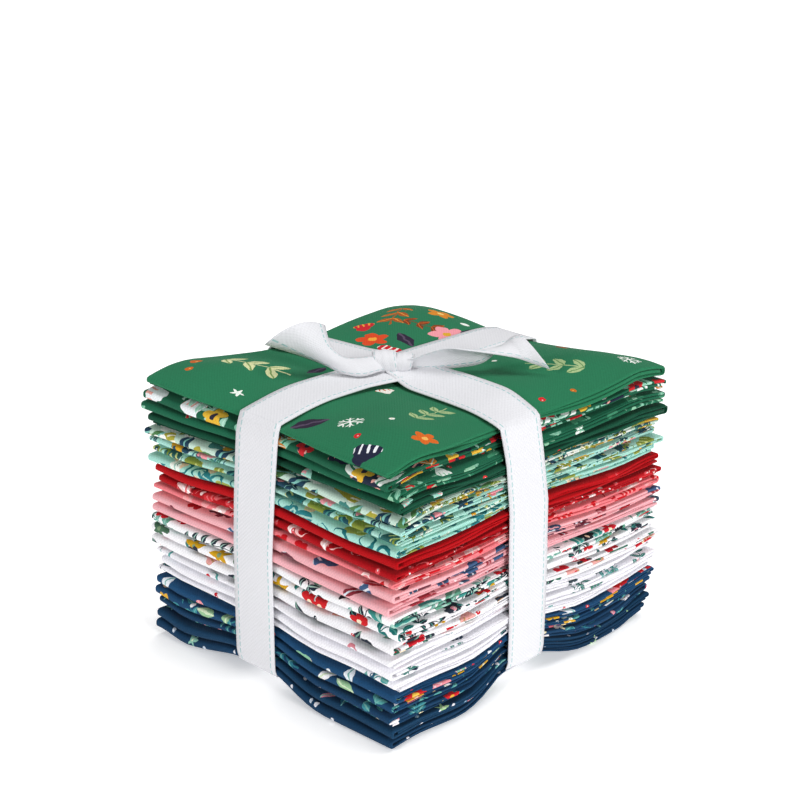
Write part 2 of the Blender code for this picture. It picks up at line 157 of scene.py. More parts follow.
LEVEL_SEED, X_SEED, Y_SEED, SKEW_SEED = 100, 200, 300, 400
SLOWER = 0.3  # how much slower a side's unevenness changes inwards than along it
PLY_SLOWER = 0.12  # and a ply's across it than along it
STEP = 9.0  # between the points of a ply
FINE_STEP = 4.5  # and between those of the cuts whose flat side shows
CROWD = 0.45  # how much a run's points crowd towards its ends, up to 1
TOP_NEAR = 14.0  # the middle of the top is looked for within this

# Colour groups from the base up. Each corner column is the share of the height at the group's top, and
# the last column is how much that share rises beside the bands.
GROUPS = table(
    "Group", "cloth cuts left front right tied",
    ("navy", 5, 0.235, 0.215, 0.190, -0.018),
    ("white", 6, 0.483, 0.490, 0.446, 0.000),
    ("pink", 2, 0.560, 0.580, 0.530, 0.014),
    ("red", 3, 0.672, 0.692, 0.658, 0.030),
    ("mint", 4, 0.815, 0.838, 0.802, 0.014),
    ("green", 4, 1.000, 1.000, 1.000, 0.000),
)

# One row for each cut, from the base up: the side of its tall fold, how far each corner stands out, and
# its share of its group's height.
CUTS = table(
    "Cut", "tall left front right plump",
    (-1, 1.8, 0.0, -1.6, 1.10), (-1, 1.5, 0.3, -0.2, 1.00), (1, 0.9, -0.2, -0.4, 1.10),
    (-1, 1.4, 0.0, -0.2, 0.92), (-1, 1.0, 1.4, 0.3, 0.92), (1, -0.3, 1.6, -1.0, 0.88),
    (-1, -0.8, 0.3, 1.1, 0.98), (1, 0.3, -0.9, 0.0, 0.94), (-1, 1.2, 1.1, 1.5, 1.12),
    (-1, 1.4, 1.4, 0.5, 1.12), (-1, 1.2, 1.0, 1.0, 0.98), (-1, 0.6, -0.6, 1.4, 0.96),
    (-1, 0.7, 0.6, 1.0, 1.04), (1, -0.4, 0.6, 1.2, 0.97), (-1, -1.4, 1.1, 0.8, 0.94),
    (-1, -0.7, 1.7, 1.2, 1.10), (-1, 0.6, 1.5, -0.3, 1.10), (1, 0.0, 1.4, 1.8, 0.92),
    (1, 0.6, 2.0, 0.0, 0.96), (-1, 1.6, 2.2, -0.1, 1.02), (1, 0.9, 2.2, 2.2, 1.06),
    (-1, 2.2, 1.4, 1.6, 0.96), (-1, 2.1, -1.4, 1.4, 0.94), (1, 0.6, -1.7, 2.0, 1.04),
)

# Soft troughs (below zero) and ridges pressed into the top: both ends, depth and half width
CREASES = table(
    "Crease", "x0 y0 x1 y1 depth reach",
    (-20.0, -32.0, -46.0, -18.0, -0.9, 6.0),
    (-22.0, -20.0, -60.0, -8.0, 0.6, 7.0),
    (8.0, 14.0, 40.0, 30.0, -0.6, 7.0),
    (10.0, -20.0, 34.0, -44.0, 0.5, 8.0),
    (-32.0, -46.0, 18.0, -48.0, 2.3, 17.0),
    (2.0, 9.0, 68.0, 9.0, 3.2, 13.0),
)
CREASE_ENDS = 0.35  # share of a crease's length over which each of its ends fades

# The ribbon's two ends, from the knot outward: x, y and z of the tape's near edge, then of its far edge,
# and how far its middle arches
RIGHT_END = (
    (-2.0, -5.4, 118.0, -2.6, -3.6, 115.2, 0.3),
    (4.6, -3.2, 119.6, 4.8, -1.2, 115.4, 0.8),
    (10.2, 0.4, 122.6, 11.0, 5.0, 115.0, 1.6),
    (17.0, 4.0, 125.2, 17.0, 10.0, 115.6, 2.4),
    (26.2, 8.6, 125.2, 24.2, 17.6, 117.6, 2.4),
    (36.0, 22.4, 121.3, 25.4, 28.0, 122.6, 2.2),
    (41.2, 27.0, 119.0, 28.2, 30.0, 126.0, 2.4),
    (47.4, 30.9, 117.0, 31.2, 31.6, 127.4, 2.6),
)
LEFT_END = (
    (-3.6, -6.0, 118.2, -2.6, -6.6, 115.0, 0.3),
    (-7.4, -9.4, 119.8, -1.8, -15.6, 115.6, 0.8),
    (-9.4, -16.4, 120.2, -3.6, -22.8, 115.4, 1.4),
    (-12.2, -22.6, 121.2, -9.8, -26.4, 116.0, 1.6),
    (-16.4, -24.4, 123.8, -18.6, -28.4, 118.2, 3.0),
    (-20.2, -23.8, 127.0, -28.2, -33.2, 121.2, 5.8),
    (-26.6, -19.4, 130.2, -36.6, -42.6, 125.6, 8.2),
)

# The knot's turns: how far along it, its width, half height, half depth, lean in degrees, and rise
WRAPS = table(
    "Wrap", "along width high deep lean rise",
    (-2.4, 9.4, 5.0, 5.6, -10.0, 0.0),
    (3.8, 7.6, 4.2, 5.0, 14.0, -0.4),
)

# How the cloths look, in mm
YARN_PITCH = 0.7  # yarns 0.36 mm apart are finer than a pixel, so the weave is drawn this coarse
RIB_PITCH = 0.8  # the ribbon's ribs, 0.25 mm apart, are drawn this coarse
WEAVE_DEEP = 0.12  # the height of a yarn
WANDER = 2.4  # the span in which a printed outline strays, mostly by a few tenths
STRAY_SCALE = 0.22  # noises, in turns per mm: of that straying
LINT_SCALE = 0.9  # of the lint
WORN_SCALE = 0.035  # of the faint cloudiness
GRAIN_SCALE = 1.3  # of the ribbon's yarns
TOSS = 0.72  # how unevenly a print's motifs are tossed, up to 1
STITCH_INK = 0.8  # how fully the stitches' colour covers
STITCH_IN = 2.2  # the line of stitches from the ribbon's edge
STITCH_WIDE = 0.52
STITCH_PITCH = 2.8
STITCH_SHARE = 0.64  # of the pitch

# Prints from the base up. A layer is a motif, its spacing and half size in mm, the share of places that
# have one, and its colours: the usual one, the other one and the one inside.
PRINTS = table(
    "Print", "name ground layers",
    ("navy_star", "#143a5a", (
        ("star", 15, 3.4, 0.45, "#a9d29a #8fc7b4 #dfe8c8"),
        ("berry", 10, 0.8, 0.45, "#e8e8f0 #c9d6e6 #ffffff"))),
    ("navy_dot", "#153c5b", (
        ("star", 16, 3.0, 0.40, "#a9d29a #79b7ae #dfe8c8"),
        ("leaf", 14, 3.6, 0.40, "#2c6f86 #d58b9a #79b7ae"),
        ("berry", 9, 0.8, 0.50, "#e8e8f0 #8fb6cf #ffffff"))),
    ("navy_stroke", "#183e60", (
        ("sprig", 16, 7.2, 0.62, "#3f8d98 #2f7787 #79b7ae"),
        ("flower", 14, 3.4, 0.35, "#d9252c #f4f0f4 #e7b23c"),
        ("berry", 10, 1.1, 0.45, "#f3e9c0 #e58fa0 #ffffff"))),
    ("navy_leaf", "#1a456a", (
        ("sprig", 17, 8.0, 0.50, "#3d8f99 #58a7a4 #79b7ae"),
        ("leaf", 14, 5.2, 0.38, "#9cc79a #f4f2f4 #d6e6c4"),
        ("flower", 15, 3.6, 0.22, "#e7b23c #c9606c #f6e7b8"),
        ("berry", 11, 1.2, 0.45, "#f3d9a0 #ffffff #ffffff"))),
    ("navy_patch", "#1b486f", (
        ("patch", 17, 5.6, 0.40, "#ec8f99 #8cc4a2 #f7c5ca"),
        ("flower", 16, 5.6, 0.42, "#d9a520 #cf2027 #f2c14e"),
        ("leaf", 14, 5.0, 0.30, "#2f7f8f #e9eef4 #79b7ae"),
        ("berry", 10, 1.1, 0.45, "#e9eef4 #d9252c #ffffff"))),
    ("white_dash", "#f4f3f8", (
        ("sprig", 21, 6.4, 0.45, "#4f9c9a #26384f #79b7ae"),
        ("berry", 14, 1.0, 0.45, "#c81d2c #2b5f7a #ffffff"))),
    ("white_line", "#f5f4f9", (
        ("patch", 22, 4.4, 0.40, "#2c3d54 #3a7f6a #8c94a4"),
        ("sprig", 19, 6.0, 0.40, "#57a19d #2c6f66 #9cc8c4"),
        ("berry", 15, 0.9, 0.40, "#d88f98 #38474f #ffffff"))),
    ("white_berry", "#f4f3f8", (
        ("arc", 15, 3.6, 0.45, "#51a09b #d5808c #ffffff"),
        ("flower", 18, 3.8, 0.45, "#c81d2c #38474f #f3d0c4"),
        ("berry", 13, 1.4, 0.45, "#c81d2c #38474f #ffffff"))),
    ("white_bloom", "#f5f4f7", (
        ("patch", 17, 4.8, 0.45, "#2c3340 #e5a39d #b98a5c"),
        ("flower", 17, 5.6, 0.55, "#c81d2c #3a6f5c #f5e1c2"),
        ("leaf", 14, 5.0, 0.55, "#2c3340 #3a6f5c #77a090"),
        ("berry", 11, 1.0, 0.45, "#26303c #c81d2c #ffffff"))),
    ("white_star", "#f5f4f7", (
        ("sprig", 15, 7.4, 0.70, "#1e6e6b #222a36 #4b958c"),
        ("star", 18, 5.8, 0.50, "#4c6f57 #cf9d16 #7f9a76"),
        ("flower", 16, 4.6, 0.50, "#cf2027 #2c3340 #f5e1c2"),
        ("berry", 11, 1.2, 0.45, "#26303c #e58fa0 #ffffff"))),
    ("white_leaf", "#f5f5f7", (
        ("leaf", 14, 6.8, 0.70, "#3a9088 #5f9f86 #a7cfc2"),
        ("sprig", 16, 8.0, 0.60, "#6fa99c #1f2b38 #a7cfc2"),
        ("flower", 17, 4.4, 0.40, "#c81d2c #20242c #f5e1c2"),
        ("berry", 12, 1.7, 0.40, "#20242c #cf9d16 #ffffff"))),
    ("pink_plain", "#efb0b7", (
        ("patch", 20, 5.0, 0.42, "#9c2f3a #c7727c #e0949c"),
        ("leaf", 19, 5.4, 0.32, "#33475f #8f2f3c #d9dfe8"),
        ("berry", 13, 0.9, 0.40, "#a8475a #ffffff #ffffff"))),
    ("pink_patch", "#efb0b6", (
        ("patch", 16, 6.0, 0.70, "#3d5a80 #6b3240 #d9dfe8"),
        ("flower", 16, 5.0, 0.50, "#b5101c #7a2a3c #f7d7c4"),
        ("leaf", 14, 4.6, 0.50, "#2f4560 #9c3540 #c98a92"))),
    ("coral_bloom", "#ee7f86", (
        ("patch", 13, 5.8, 0.75, "#cf1a24 #f3a9ac #ff9d9d"),
        ("flower", 14, 4.6, 0.60, "#c8101c #f8d5d2 #ffffff"),
        ("arc", 11, 2.6, 0.55, "#ffe3e0 #b00d18 #ffffff"))),
    ("red_stroke", "#ab0714", (
        ("patch", 16, 5.4, 0.45, "#d22c34 #7f0a12 #e8696e"),
        ("leaf", 13, 5.0, 0.55, "#d22c34 #f6d9d6 #ffffff"),
        ("arc", 11, 3.2, 0.75, "#f3c2c0 #e8696e #ffffff"),
        ("berry", 9, 1.0, 0.45, "#f6d9d6 #e0525a #ffffff"))),
    ("red_plain", "#b3040f", (
        ("patch", 26, 4.4, 0.18, "#cc1820 #8f000a #e0525a"),)),
    ("mint_line", "#a6dccf", (
        ("patch", 15, 5.8, 0.70, "#98a04a #f0c9a8 #c9cf86"),
        ("leaf", 14, 5.6, 0.60, "#eef3ea #2c7f86 #a7cfc2"),
        ("arc", 11, 3.8, 0.75, "#1f6f74 #2c7f86 #4b958c"),
        ("flower", 15, 4.2, 0.35, "#ef9aa4 #f2f4ee #e7b23c"))),
    ("mint_olive", "#b0dfd2", (
        ("patch", 13, 6.2, 0.80, "#84903a #2c5f5c #c9cf86"),
        ("leaf", 13, 5.6, 0.65, "#1f4f5c #e9f1e6 #4b958c"),
        ("arc", 11, 2.8, 0.55, "#7d8f35 #1f6f74 #ffffff"),
        ("berry", 10, 1.1, 0.45, "#d99a1e #1f4f5c #ffffff"))),
    ("mint_gold", "#a8dcd1", (
        ("patch", 14, 6.4, 0.75, "#23485c #94993f #e4efe6"),
        ("sprig", 15, 7.0, 0.60, "#2f6f5a #1f3f54 #7fbfb4"),
        ("flower", 14, 4.8, 0.50, "#d9a520 #ef9aa4 #f4f0d8"),
        ("arc", 12, 3.0, 0.50, "#c79a30 #2f6f7a #ffffff"))),
    ("cream_bloom", "#c2dccd", (
        ("patch", 12, 6.2, 0.85, "#a9a23c #3f7f78 #f4f0d8"),
        ("leaf", 12, 6.6, 0.85, "#1f3f54 #4f7d4c #7fbfb4"),
        ("flower", 14, 5.4, 0.65, "#cfa23a #f3f4ee #f4f0d8"),
        ("sprig", 14, 7.4, 0.65, "#6f8030 #2a4d60 #b9c27c"))),
    ("green_dot", "#114b36", (
        ("berry", 13, 1.1, 0.40, "#e9f1ec #d9252c #ffffff"),
        ("patch", 23, 3.6, 0.35, "#d9252c #9ad2c2 #f0a0a8"))),
    ("green_tonal", "#1b6146", (
        ("sprig", 16, 7.0, 0.55, "#2f7d5c #79b79c #9accb0"),
        ("flower", 16, 4.6, 0.45, "#3f8a68 #8cc4a2 #9accb0"),
        ("patch", 22, 4.0, 0.35, "#e9efea #c9252c #8cc4a2"),
        ("berry", 12, 1.0, 0.40, "#c9252c #e9efea #ffffff"))),
    ("green_leaf", "#1b5d43", (
        ("patch", 14, 6.4, 0.80, "#e9eef0 #20283c #e7a79d"),
        ("leaf", 14, 6.6, 0.70, "#e8efea #8ccbb0 #2f7d5c"),
        ("sprig", 17, 8.0, 0.50, "#9cd0ba #c9792c #bfe0d0"),
        ("flower", 15, 5.0, 0.50, "#c9252c #e3b33a #2c2a3c"))),
    ("green_toss", "#267450", (
        ("berry", 41, 1.2, 0.30, "#c4651c #f1f5ee #efc25a"),)),
)

# Motifs listed for the top of the stack: the middle in mm on its plan, half size, turn in degrees, and
# the colours of its outside and its inside
TOP_CHART = table(
    "Placed", "motif x y size angle colours",
    ("sprig", -42, -42, 15.0, 18, "#d8dba6 #7d9a5a"), ("berry", -61, -58, 2.2, 0, "#c9601e #f0b45c"),
    ("berry", -56, -65, 1.6, 0, "#c9601e #f0b45c"), ("star", -29, -66, 3.4, 10, "#eef4ec #cfe3d6"),
    ("leaf", -27, -24, 6.0, 95, "#2d2438 #54465c"), ("leaf", 12, -67, 9.0, 62, "#2d2438 #54465c"),
    ("flake", 27, -59, 5.4, 12, "#f1f5ee #ffffff"), ("patch", 50, -72, 6.6, 30, "#20243c #eef1f4"),
    ("flower", 59, -53, 5.2, 25, "#d9661e #f0b45c"), ("berry", 39, -66, 1.5, 0, "#cf2027 #f4c0b8"),
    ("sprig", 40, -29, 11.0, 100, "#a9c08a #5f8a55"), ("patch", 9, -22, 4.0, 70, "#efe9e0 #c9601e"),
    ("sprig", 42, 40, 12.0, 205, "#a9c08a #5f8a55"), ("berry", 61, 14, 1.6, 0, "#cf2027 #f4c0b8"),
    ("flake", 58, 66, 4.4, 40, "#f1f5ee #ffffff"), ("leaf", 24, 68, 6.5, 140, "#7a3a1c #c9601e"),
    ("patch", -25, 14, 6.2, 20, "#c8202a #f4ece4"), ("flower", -38, 19, 7.0, 0, "#d9481e #f2a63c"),
    ("leaf", -28, 28, 7.4, 160, "#2a2236 #54465c"), ("patch", -52, 27, 6.0, 60, "#c8202a #f2a63c"),
    ("sprig", -50, 45, 12.0, 300, "#a8541e #e0913c"), ("sprig", -34, 46, 9.0, 20, "#7a3a1c #c9601e"),
    ("flower", -22, 47, 8.0, 15, "#ef9aa4 #d9a52c"), ("leaf", -16, 60, 8.0, 60, "#2a2236 #54465c"),
    ("flower", -40, 63, 6.4, 40, "#d9861e #f6d27a"), ("berry", -26, 64, 2.2, 0, "#f1f5ee #ffffff"),
)

# The studio: the camera as the photograph has it, aimed at the middle of the stack, in metres
CAMERA_AZIMUTH = math.radians(43.57)
CAMERA_ELEVATION = math.radians(23.59)
CAMERA_DISTANCE = 0.813
CAMERA_AIM = (-0.0004, 0.0011, 0.05679)
CAMERA_LENS = 89.8
CAMERA_SENSOR = 36.0
CAMERA_SHIFT = (-0.0096, 0.1245)
CAMERA_NEAR = 0.01  # nothing nearer is drawn
FLOOR_SIZE = 60.0
FLOOR_UNDER = 0.0002  # the floor lies this far under the base, so that they don't flicker
FLOOR_GLOW = 0.36  # how strongly the floor shines by itself
SKY_LIGHT = 0.15  # the strength of the even light from all round
# Wide lamps: where each comes from, how wide it looks in degrees, and its strength
LAMPS = table(
    "Lamp", "name place spread strength",
    ("key light", (-0.45, -1.1, 0.62), 16.0, 0.90),
    ("fill light", (1.25, -0.25, 0.55), 16.0, 1.66),
    ("top light", (0.1, 0.35, 1.3), 40.0, 1.85),
)


class BundleSettings(bpy.types.PropertyGroup):
    """The sizes and colours of the bundle that a user would change."""

    cloth_thick: FloatProperty(
        name="Cloth thickness",
        description="Thickness of one ply of quilting cotton",
        default=0.22 * MM,
        unit="LENGTH",
    )
    ripple: FloatProperty(
        name="Unevenness",
        description="How uneven the folds lie, as a share of the usual",
        default=1.0,
        subtype="FACTOR",
    )
    ribbon_colour: FloatVectorProperty(
        name="Ribbon",
        description="Colour of the woven ribbon",
        default=linear("#e1e1e5")[:3],
        subtype="COLOR",
    )
    stitch_colour: FloatVectorProperty(
        name="Ribbon stitches",
        description="Colour of the running stitch beside each edge of the ribbon",
        default=linear("#95c5c5")[:3],
        subtype="COLOR",
    )
    floor_colour: FloatVectorProperty(
        name="Floor",
        description="Colour of the studio floor",
        default=linear("#fcfcfc")[:3],
        subtype="COLOR",
    )
    light: FloatProperty(
        name="Light", description="Strength of the studio light", default=1.0, subtype="FACTOR"
    )


def ease(value):
    """0 to 1 with level ends."""
    value = np.clip(value, 0.0, 1.0)
    return value * value * (3.0 - 2.0 * value)


def puff(value):
    """0 to 1, steep at first and level at its end, as a filled edge swells."""
    return 1.0 - (1.0 - np.clip(value, 0.0, 1.0)) ** 2


def channel(offset, reach):
    """1 under a band, falling to 0 beyond its reach on either side."""
    share = np.clip((np.abs(offset) - CHANNEL) / np.where(offset < 0, *reach), 0.0, 1.0)
    return 1.0 - (share + (ease(share) - share) * SLOPE_EASE)


def under_bands(x, y, reach_x, reach_y):
    """1 under either band, falling to 0 beyond its reach."""
    return np.maximum(channel(x - RIBBON_X, reach_x), channel(y - RIBBON_Y, reach_y))


def corner_mix(x, y, left, front, right, back):
    """A value that each of the four corners gives, blended over the plan."""
    across = x / WIDTH + 0.5
    along = y / DEPTH + 0.5
    near = left + (front - left) * across
    far = back + (right - back) * across
    return near + (far - near) * along


def ripple(seed, a, b):
    """A smooth unevenness about as large as 1, the same for the same seed."""
    chance = np.random.RandomState(seed)
    total = np.zeros(np.broadcast(a, b).shape)
    for _ in range(WAVE_COUNT):
        wave = chance.uniform(*WAVES)
        turned, start = chance.uniform(0, TURN, 2)
        total = total + np.sin((a * math.cos(turned) + b * math.sin(turned)) * TURN / wave + start)
    return total / 2.0


def creased(x, y):
    """Depth of the creases pressed into the top."""
    total = np.zeros(np.broadcast(x, y).shape)
    for row in CREASES:
        way = np.array((row.x1 - row.x0, row.y1 - row.y0))
        long = np.hypot(*way)
        way = way / long
        along = (x - row.x0) * way[0] + (y - row.y0) * way[1]
        off = (y - row.y0) * way[0] - (x - row.x0) * way[1]
        inside = ease(along / (CREASE_ENDS * long)) * ease((long - along) / (CREASE_ENDS * long))
        total = total + row.depth * inside * np.exp(-((off / row.reach) ** 2))
    return total


def shoulder(x, y):
    """Height of the stack's top before it is puffed up and pressed down."""
    pressed = under_bands(x, y, REACH_X, REACH_Y)
    return HEIGHT - SHOULDER_DROP + corner_mix(x, y, **LOBES) * (1.0 - LOBE_PRESSED * pressed)


def relief(x, y):
    """How far the top stands above its shoulders, or below them."""
    inner_x = puff((WIDTH / 2 - np.abs(x)) / CROWN_REACH)
    inner_y = puff((DEPTH / 2 - np.abs(y)) / CROWN_REACH)
    edge_x, edge_y = inner_y * (1 - inner_x), inner_x * (1 - inner_y)
    crown = inner_x * inner_y + corner_mix(x, y, **CROWN_X) * edge_x + corner_mix(x, y, **CROWN_Y) * edge_y
    depth_x = np.where(x < 0, *SIDE_CHANNEL_X) * channel(y - RIBBON_Y + SIDE_STRAY, SIDE_REACH) * edge_x
    depth_y = np.where(y < 0, *SIDE_CHANNEL_Y) * channel(x - RIBBON_X, SIDE_REACH) * edge_y
    depth = TOP_CHANNEL * under_bands(x, y, REACH_X, REACH_Y) * inner_x * inner_y + depth_x + depth_y
    return CROWN * crown - depth + creased(x, y)


def base_height(x, y):
    """Height of the stack's underside: flat on the ground but for the channels and two curled corners."""
    pressed = under_bands(x, y, BASE_REACH_X, BASE_REACH_Y) ** BASE_STEEP
    out_x = ease((np.abs(x) - EDGE_X) / (WIDTH / 2 - EDGE_X))
    out_y = ease((np.abs(y) - EDGE_Y) / (DEPTH / 2 - EDGE_Y))
    return BASE_CHANNEL * pressed + BASE_CURL * out_x * out_y * (x * y > 0)


def shares():
    """(left, front, right, tied) share of the height at each cut's underside, and 1 for the top."""
    rows = [(0.0, 0.0, 0.0, 0.0)]
    first = 0
    for group in GROUPS:
        start = rows[-1]
        plump = [cut.plump for cut in CUTS[first : first + group.cuts]]
        for count in range(group.cuts):
            done = sum(plump[: count + 1]) / sum(plump)
            ends = (group.left, group.front, group.right, group.tied)
            rows.append(tuple(low + (high - low) * done for low, high in zip(start, ends)))
        first += group.cuts
    return rows


SHARES = shares()


def mean_share(number):
    """The mean of a cut's shares at the three corners that show."""
    return sum(SHARES[number][:3]) / 3


def level(number, x, y):
    """Height of the boundary under cut number, or of the stack's top for the last number."""
    left, front, right, tied = SHARES[number]
    beside = tied * under_bands(x, y, REACH_X, REACH_Y)
    share = corner_mix(x, y, left, front, right, (left + right) / 2) + beside
    uneven = LEVEL_RIPPLE * ripple(LEVEL_SEED + number, x, y) if number else 0.0
    lifted = base_height(x, y) * (1 - share) ** BASE_FADES
    return lifted + shoulder(x, y) * share + relief(x, y) * share**RELIEF_FADES + uneven


def side_shift(number, x, y):
    """How far a cut's edge stands out at a point of its outline, as (dx, dy)."""
    cut = CUTS[number]
    share = (mean_share(number) + mean_share(number + 1)) / 2
    pull = TOP_PULL * ease(1 - (1 - share) / PULL_REACH) + BASE_PULL * ease(1 - share / PULL_REACH)
    across = x / WIDTH + 0.5
    along = y / DEPTH + 0.5
    back = (cut.left + cut.right) / 2 - BACK_IN
    front_y = cut.front - SPLAY[0] - (SPLAY[1] - SPLAY[0]) * share
    right_x = cut.front + (cut.right - cut.front) * along
    left_x = -cut.left + (cut.left - back) * along
    far_y = back + (cut.right - back) * across
    near_y = -cut.left + (front_y + cut.left) * across
    uneven_x = SIDE_RIPPLE * ripple(X_SEED + number, y, SLOWER * x)
    uneven_y = SIDE_RIPPLE * ripple(Y_SEED + number, x, SLOWER * y)
    slack = 1 - channel(y - RIBBON_Y, SIDE_REACH)
    swell = BULGE * 4 * slack * (1 - slack) * ease(1 - share / PULL_REACH) * (x > 0)
    shift_x = np.where(x > 0, right_x, left_x) + uneven_x - np.sign(x) * pull * channel(y - RIBBON_Y, REACH_Y)
    shift_x = shift_x + swell
    shift_y = np.where(y > 0, far_y, near_y) + uneven_y - np.sign(y) * pull * channel(x - RIBBON_X, REACH_X)
    return shift_x, shift_y


def grid_of(along, across):
    """A grid with a pair of values at each crossing."""
    return np.stack(np.broadcast_arrays(along[:, None], across[None, :]), axis=-1)


def travelled(points):
    """The length travelled along a path at each of its points."""
    return np.r_[0.0, np.cumsum(np.linalg.norm(np.diff(points, axis=0), axis=1))]


def straight(rows, step):
    """Points along straight runs, from rows of start, end and height: closer together towards their ends."""
    runs = []
    for start, end, height in rows:
        share = np.linspace(0.0, 1.0, max(4, round(abs(end - start) / step)) + 1)
        share = share + (ease(share) - share) * CROWD
        runs.append(np.stack(np.broadcast_arrays(start + (end - start) * share, height), axis=1))
    return runs


def polyline(pieces):
    """Joined runs and turns as one path of points, and the length travelled at each."""
    points = np.vstack(pieces)
    points = points[np.r_[True, np.hypot(*np.diff(points, axis=0).T) > 1e-6]]
    return points, travelled(points)


def turn(centre, radius, start, end, steps):
    """Points round a fold, in degrees, with both ends: a round pressed a little square."""
    angles = np.radians(np.linspace(start, end, steps + 1))
    round_way = np.c_[np.cos(angles), np.sin(angles)]
    return np.array(centre) + radius * np.sign(round_way) * np.abs(round_way) ** FOLD_SQUARE


def letter_path(thickness, ply, step):
    """The middle of the folded plies as (y, height), its tall fold at +Y and its flap lowest."""
    fold = (thickness - CUT_GAP - 2 * LAYER_GAP) / 3
    low, mid, high = (CUT_GAP / 2 + fold / 2 + n * (fold + LAYER_GAP) for n in range(3))
    half = DEPTH / 2
    tall, short = (high - low) / 2, (high - mid) / 2
    tall_at, short_at = half - tall - fold / 2, -half + short + fold / 2
    flat = [(-half + FLAP_SHORT, tall_at, low), (tall_at, short_at, high), (short_at, tall_at - fold, mid)]
    runs = straight(flat, step)
    tall_turn = turn((tall_at, (high + low) / 2), tall, -90, 90, LETTER_STEPS[0])
    short_turn = turn((short_at, (high + mid) / 2), short, 90, 270, LETTER_STEPS[1])
    return polyline([runs[0], tall_turn, runs[1], short_turn, runs[2]]) + (fold - ply,)


def quarter_path(room, step):
    """One cloth folded in four across: (x, offset out of the folded plies) along its width."""
    half = WIDTH / 2
    offsets = np.linspace(-room / 2, room / 2, 4)  # innermost ply to outermost
    outer, inner = room / 2, room / 6
    first = (offsets[2] + offsets[3]) / 2
    tucked = half - outer - TUCK
    runs = [
        (-half + FREE_EDGE_IN, half - outer, offsets[0]),
        (half - outer, -half + inner, offsets[3]),
        (-half + inner, tucked, offsets[2]),
        (tucked, -half + 2 * FREE_EDGE_IN, offsets[1]),
    ]
    lines = straight(runs, step)
    outer_turn = turn((half - outer, 0.0), outer, -90, 90, QUARTER_STEPS[0])
    back_turn = turn((-half + inner, first), inner, 90, 270, QUARTER_STEPS[1])
    inner_turn = turn((tucked, 0.0), inner, 90, -90, QUARTER_STEPS[1])
    return polyline([lines[0], outer_turn, lines[1], back_turn, lines[2], inner_turn, lines[3]])


def normals_of(path):
    """Unit normals to the right of a path."""
    ahead = np.gradient(path, axis=0)
    ahead /= np.hypot(*ahead.T)[:, None]
    return np.c_[ahead[:, 1], -ahead[:, 0]]


def folded_cut(number, ply, uneven):
    """Grid of points and flat cloth coordinates of one fat quarter."""
    cut = CUTS[number]
    thickness = HEIGHT * (mean_share(number + 1) - mean_share(number))
    step = FINE_STEP if number in (0, 1, len(CUTS) - 1) else STEP
    path, along, room = letter_path(thickness, ply, step)
    across_path, across = quarter_path(room, step)
    away = normals_of(path)
    y = cut.tall * (path[:, :1] + away[:, :1] * across_path[None, :, 1])
    rise = path[:, 1:] + away[:, 1:] * across_path[None, :, 1]
    x = np.broadcast_to(across_path[None, :, 0], y.shape)
    stray = uneven * SKEW_RIPPLE * ripple(SKEW_SEED + number, along[:, None], PLY_SLOWER * across[None, :])
    end_x = ease((np.abs(x) - EDGE_X) / (WIDTH / 2 - EDGE_X - EDGE_FULL[0]))
    end_y = ease((np.abs(y) - EDGE_Y) / (DEPTH / 2 - EDGE_Y - EDGE_FULL[1]))
    shift_x, shift_y = side_shift(number, x, y)
    at_x = x + (shift_x + stray) * end_x
    at_y = y + shift_y * end_y
    bottom = level(number, at_x, at_y)
    top = level(number + 1, at_x, at_y)
    share = rise / thickness
    share = share + (0.5 - share) * NOSE_PINCH * np.maximum(end_x, end_y)
    at_z = bottom + (top - bottom) * share
    points = np.stack((at_x, at_y, at_z), axis=-1) - MIDDLE
    # The flat place runs along the letter fold, then across it, and a UV map takes the second one first.
    flat = grid_of(along / along[-1] * CUT_FLAT[0], across / across[-1] * CUT_FLAT[1])
    return points, flat[..., ::-1]


def top_place(points, flat):
    """The flat place that lies over the middle of the plan, on top of a folded cut."""
    placed = points.reshape(-1, 3) + MIDDLE
    at = np.argmax(placed[:, 2] - HEIGHT * (np.hypot(placed[:, 0], placed[:, 1]) > TOP_NEAR))
    return flat.reshape(-1, 2)[at] + placed[at, :2]


def cloth_grid(name, points, flat, closed=False):
    """A mesh object from a grid of points in mm, with its flat place in metres as its UV map."""
    rows, columns = points.shape[:2]
    index = np.arange(rows * columns).reshape(rows, columns)
    if closed:
        index = np.vstack((index, index[:1]))

    def corners(grid):
        return np.stack((grid[:-1, :-1], grid[1:, :-1], grid[1:, 1:], grid[:-1, 1:]), axis=2)

    faces = corners(index).reshape(-1, 4)
    mesh = bpy.data.meshes.new(name)
    mesh.from_pydata((points.reshape(-1, 3) * MM).tolist(), [], faces.tolist())
    layer = mesh.uv_layers.new(name="flat cloth")
    layer.data.foreach_set("uv", (corners(flat) * MM).reshape(-1).astype(np.float32))
    mesh.polygons.foreach_set("use_smooth", np.ones(len(faces), bool))
    made = bpy.data.objects.new(name, mesh)
    bpy.context.scene.collection.objects.link(made)
    return made


def select_only(*objects):
    """Leaves only these selected, with the first of them active."""
    bpy.ops.object.select_all(action="DESELECT")
    for obj in objects:
        obj.select_set(True)
    bpy.context.view_layer.objects.active = objects[0]


def thicken(obj, thick):
    """Gives a cloth its thickness, in metres, on both sides of its middle."""
    select_only(obj)
    wall = obj.modifiers.new("thickness", "SOLIDIFY")
    wall.thickness = thick
    wall.offset = 0.0
    wall.use_even_offset = False
    bpy.ops.object.modifier_apply(modifier=wall.name)


def fill(tree, socket, value):
    """Links a socket to another, or sets its value."""
    if isinstance(value, bpy.types.NodeSocket):
        tree.links.new(value, socket)
    else:
        socket.default_value = value


